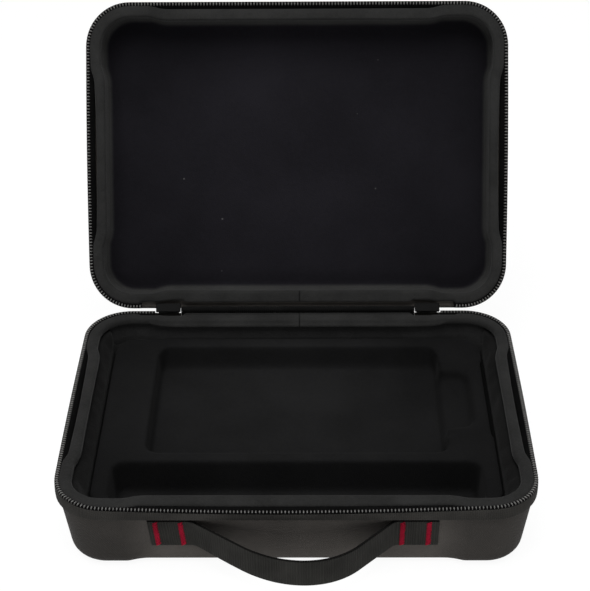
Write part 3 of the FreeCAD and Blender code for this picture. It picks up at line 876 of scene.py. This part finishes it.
# %% [markdown]
# ## Zip teeth
# Each tooth is a small rounded bead of semi-gloss nylon. It has only four dozen faces, because there are
# hundreds of them, so one bead is made and copied to every place.

# %% Beads
def nylon_finish(name, colour):
    """Semi-gloss nylon with slightly uneven gloss."""
    material = new_finish(name, colour, 0.34, Specular_IOR_Level=0.5)
    cloud = grain(material, node(material, "TexCoord").outputs["Object"], 500, 2)
    share = sums(material, "ADD", cloud, 0.5, clamp=True)
    shaded = blend_colours(material, share, lighter(colour, 0.7), lighter(colour, 1.3))
    rough = sums(material, "MULTIPLY_ADD", cloud, 0.2, 0.34)
    return finish_with(material, shaded, rough, cloud, 0.00005, 0.4)


def bead_mesh():
    """A round bead of unit radius."""
    bm = bmesh.new()
    bmesh.ops.create_uvsphere(bm, u_segments=8, v_segments=6, radius=1.0)
    return mesh_from(bm, "bead")


def scatter(name, template, places):
    """One mesh with a copy of a small template at every place."""
    bm = bmesh.new()
    for place in places:
        one = template.copy()
        one.transform(place)
        bm.from_mesh(one)
        bpy.data.meshes.remove(one)
    return mesh_from(bm, name)


bead = bead_mesh()
print("bead of", len(bead.polygons), "faces")

# %% [markdown]
# ### Rows of teeth
# The beads stand on a black cord, which shows as dark gaps between them. The cord stands for the zip's
# core, and its black is painted shade for the gaps. Each half's row starts at its own end of the zip. The
# lid's starts later, so that it clears the sliders when the case is closed. The two rows are not made to
# mesh.

# %% Rows of teeth
teeth_nylon = nylon_finish("teeth_nylon", (0.125, 0.122, 0.117))
# Painted shade: the cord is nearly black, to darken the gaps between the beads.
cord_shade_cloth = nap_cloth("core_cord_shade", (0.0025, 0.0025, 0.0025), 0.0, 60, 0.3)
core_section = [(0.0011, -0.0034), (0.0070, -0.0040), (0.0070, -0.0030), (0.0036, -0.0014),
                (0.0009, -0.0009)]
tooth_pitch, tooth_inset, tooth_drop, zip_start = 0.0025, 0.0022, 0.00140, 0.116
tooth_form = Matrix.Diagonal((0.00060, 0.00160, 0.00105, 1))
for body, place, amount, start in (("base", Matrix(), base_flop, zip_start),
                                   ("lid", lid_place, lid_flop, lid_zip_start)):
    places = []
    for spot, heading in rim_path(start, tooth_pitch, tooth_inset):
        foot = flop(Vector((spot.x, spot.y, parting - tooth_drop)), *amount)
        stand = place @ Matrix.Translation(foot) @ Matrix.Rotation(heading, 4, "Z")
        places.append(stand @ tooth_form)
    row = scatter(body + "_zip_coil", bead, places)
    teeth = add_piece(body + "_zip_coil", row, body, teeth_nylon)
    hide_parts(body + "_zip_teeth")
    cord_mesh = mesh_from(rim_sweep(core_section, start), body + "_zip_cord")
    for vertex in cord_mesh.vertices:
        vertex.co = flop(vertex.co, *amount)
    cord_mesh.transform(place)
    add_piece(body + "_zip_cord", cord_mesh, body, cord_shade_cloth)

# %% [markdown]
# ## Cloth hinge
# Between the two ends of the zip a strip of cloth joins the halves. Its section goes up the base, where
# it lies thin behind the roll, round the hinge line and along the lid. That section is a short sheet,
# extruded along the hinge.

# %% Hinge cloth
inner, outer, thin, leg, half_hinge, steps = 0.0006, 0.0018, 0.0010, 0.012, 0.0949, 47
bm = bmesh.new()
foot = [bm.verts.new(hinge + Vector((-half_hinge, -r, -leg))) for r in (inner, thin)]
edge = push(bm, [bm.edges.new(foot)], (0, 0, leg), 8)
thicker = [v for v in edge[0].verts if v.co.y < hinge.y - (inner + thin) / 2]
bmesh.ops.translate(bm, verts=thicker, vec=(0, thin - outer, 0))
edge = turn(bm, edge, hinge, -open_angle, 12, axis=(1, 0, 0))
lean = math.pi / 2 - open_angle
push(bm, edge, (0, leg * math.cos(lean), leg * math.sin(lean)), 4)
sheet_faces = list(bm.faces)
for _ in range(steps):
    made = bmesh.ops.extrude_face_region(bm, geom=sheet_faces)["geom"]
    sheet_faces = [g for g in made if isinstance(g, bmesh.types.BMFace)]
    verts = [g for g in made if isinstance(g, bmesh.types.BMVert)]
    bmesh.ops.translate(bm, verts=verts, vec=(2 * half_hinge / steps, 0, 0))
loose = [f for f in bm.faces if all(len(e.link_faces) > 2 for e in f.edges)]
bmesh.ops.delete(bm, geom=loose, context="FACES_ONLY")
bmesh.ops.recalc_face_normals(bm, faces=bm.faces)
hinge_mesh = mesh_from(bm, "hinge_cloth")
marks = round(2 * half_hinge / map_step)
hinge_line = [Vector((-half_hinge + map_step * i, 0, 0)) for i in range(marks)]
lay_uv(hinge_mesh, hinge_line, map_step, lambda p: Vector((p.x, 0, 0)), lambda p: p.z + p.y)
hinge_ribs = strip_finish("hinge_cloth", (0.0045, 0.0045, 0.0045), 0.0016, 0.00014)
hinge_cloth = add_piece("hinge_cloth", hinge_mesh, None, hinge_ribs)
hinge_mesh.set_sharp_from_angle(angle=crease)
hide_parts("hinge_tape")
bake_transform(hinge_cloth)

# %% [markdown]
# ## Webbing handle
# The handle is one strap of 25 mm webbing. Its two ends are sewn flat to the front and the middle stands
# off in a shallow loop: a tight bend at each root, a straight, and a round crown. The section is pushed
# along the straights and spun round the bends, then leaned onto the sloping front. The left end was sewn
# on at a slant.

# %% Course of the strap
strap_width, strap_thick, tab_in, tab_out = 0.025, 0.0018, 0.074, 0.101
bow, leave, root_bend = 0.036, math.radians(37), 0.012
both_radii = (tab_in * math.sin(leave) - bow * math.cos(leave)) / (1 - math.cos(leave))
crown = both_radii - root_bend
straight = (bow - both_radii * (1 - math.cos(leave))) / math.sin(leave)
strap_shift, front_lean = -0.002, math.radians(8)
on_front = (Matrix.Translation((strap_shift, strap_top.y, strap_top.z))
            @ Matrix.Rotation(front_lean, 4, "X"))
slant_start, slant_fade, end_slant, crown_shift = -0.045, 0.030, 0.08, 0.22


def strap_course(step):
    """Points along the strap from its left end, a step apart."""
    half = [(tab_out - tab_in, 0), (root_bend * leave, -1 / root_bend), (straight, 0)]
    bends = half + [(2 * crown * leave, 1 / crown)] + half[::-1]
    at, heading, points = Vector((-tab_out, 0, 0)), 0.0, [Vector((-tab_out, 0, 0))]
    for length, curve in bends:
        count = round(length / step)
        for _ in range(count):
            heading += curve * length / count / 2
            at = at + Vector((math.cos(heading), math.sin(heading), 0)) * (length / count)
            heading += curve * length / count / 2
            points.append(at)
    return points


def slant(place):
    """Slide the lower part of the strap's left end inward, and the loop's crown to the right."""
    share = ease((slant_start - place.x) / slant_fade)
    sideways = end_slant * share * -place.z - crown_shift * min(0.0, place.y + strap_thick)
    return place + Vector((sideways, 0, 0))


print("strap straights of", round(straight, 4), "and a crown of radius", round(crown, 4))

# %% [markdown]
# ### Sweep of the strap
# The section has a dozen steps across, so that its faces stay near square. Its edges are rounded with a
# small bevel, as the edge of webbing is.

# %% Strap
across_steps, strap_step, strap_edge, edge_angle, held = 12, 0.001, 0.0006, 1.0, 0.0025
bm = bmesh.new()
front_row = [(-tab_out, -strap_thick, -strap_width * i / across_steps) for i in range(across_steps + 1)]
back_row = [(-tab_out, 0, z) for _, _, z in reversed(front_row)]
ring = section(bm, front_row + back_row)
ring = push(bm, ring, (tab_out - tab_in, 0, 0), 10)
ring = turn(bm, ring, (-tab_in, -root_bend, 0), -leave, 10)
ring = push(bm, ring, (straight * math.cos(leave), -straight * math.sin(leave), 0), 16)
ring = turn(bm, ring, (0, crown - bow, 0), 2 * leave, 32)
ring = push(bm, ring, (straight * math.cos(leave), straight * math.sin(leave), 0), 16)
ring = turn(bm, ring, (tab_in, -root_bend, 0), -leave, 10)
push(bm, ring, (tab_out - tab_in, 0, 0), 10)
close_ends(bm)
rims = [e for e in bm.edges if e.calc_face_angle(0) > edge_angle]
bmesh.ops.bevel(bm, geom=rims, offset=strap_edge, segments=2, profile=0.5, affect="EDGES", material=-1)
strap_mesh = mesh_from(bm, "handle_strap")
lay_uv(strap_mesh, strap_course(strap_step), strap_step, lambda p: Vector((p.x, p.y, 0)), lambda p: p.z)
for vertex in strap_mesh.vertices:
    vertex.co = slant(vertex.co)
strap_mesh.transform(on_front)
# The strap's top edge gets a painted shadow.
webbing = strip_finish("webbing", (0.0315, 0.0310, 0.0285), 0.00175, 0.0003, shadow_edge=-0.0005)
strap = add_piece("handle_strap", strap_mesh, None, webbing)
strap_mesh.set_sharp_from_angle(angle=crease)
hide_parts("handle_grip", "handle_left_root", "handle_right_root", "handle_left_tab",
            "handle_right_tab")
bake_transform(strap)

# %% [markdown]
# ## Bar tacks
# Each tab is held by two bars of dense crimson stitching. One stitch is a short rounded thread laid
# across the bar, and a bar is a column of them with small random tilts from a fixed noise.

# %% Bar tacks
thread = strip_finish("crimson_thread", (0.40, 0.014, 0.040), 0.0006, 0.0001, sheen=0.0)
bars = ((-0.0959, -4), (-0.0782, -4), (0.0757, 0), (0.0940, 0))
stitches, stitch_pitch, stitch_lean, jog_share, lean_share = 17, 0.00138, -0.45, 0.0003, 0.2
stitch_form, stitch_out = Matrix.Diagonal((0.0023, 0.00055, 0.00050, 1)), 0.0002
places = []
for number, (place, tilt) in enumerate(bars):
    centre = slant(Vector((place, -strap_thick - stitch_out, -strap_width / 2)))
    bar = Matrix.Translation(centre) @ Matrix.Rotation(math.radians(tilt), 4, "Y")
    for stitch in range(stitches):
        jog = noise.noise(Vector((number * 7.3, stitch * 1.7, 0.5)))
        along = Matrix.Translation((jog * jog_share, 0, (stitch - stitches // 2) * stitch_pitch))
        spot = along @ Matrix.Rotation(lean_share * jog + stitch_lean, 4, "Y")
        places.append(on_front @ bar @ spot @ stitch_form)
tack_mesh = scatter("crimson_tacks", bead, places)
layer = tack_mesh.uv_layers.new(name="strip")
for loop in tack_mesh.loops:
    co = tack_mesh.vertices[loop.vertex_index].co
    layer.data[loop.index].uv = (co.x, co.z)
tacks = add_piece("crimson_tacks", tack_mesh, "base", thread)
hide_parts("handle_stitching")

# %% [markdown]
# ## Sliders and pulls
# The zip sliders and their pulls are small castings in black enamel with little gloss. Their true shape
# comes from the model, so they only get a finish, a bit uneven from wear.

# %% Slider enamel
def enamel_finish(name):
    """Black enamel whose gloss is a little uneven from wear."""
    material = new_finish(name, (0.002, 0.002, 0.002), 0.4, Specular_IOR_Level=0.03)
    scuffs = grain(material, node(material, "TexCoord").outputs["Object"], 700, 3)
    share = sums(material, "ADD", scuffs, 0.5, clamp=True)
    shaded = blend_colours(material, share, (0.0012, 0.0012, 0.0012), (0.0030, 0.0030, 0.0030))
    rough = sums(material, "MULTIPLY_ADD", scuffs, 0.16, 0.38)
    return finish_with(material, shaded, rough, scuffs, 0.00003, 0.3)


enamel = enamel_finish("black_enamel")
for name in ("left_slider", "right_slider", "left_pull", "right_pull"):
    dress(name, enamel)
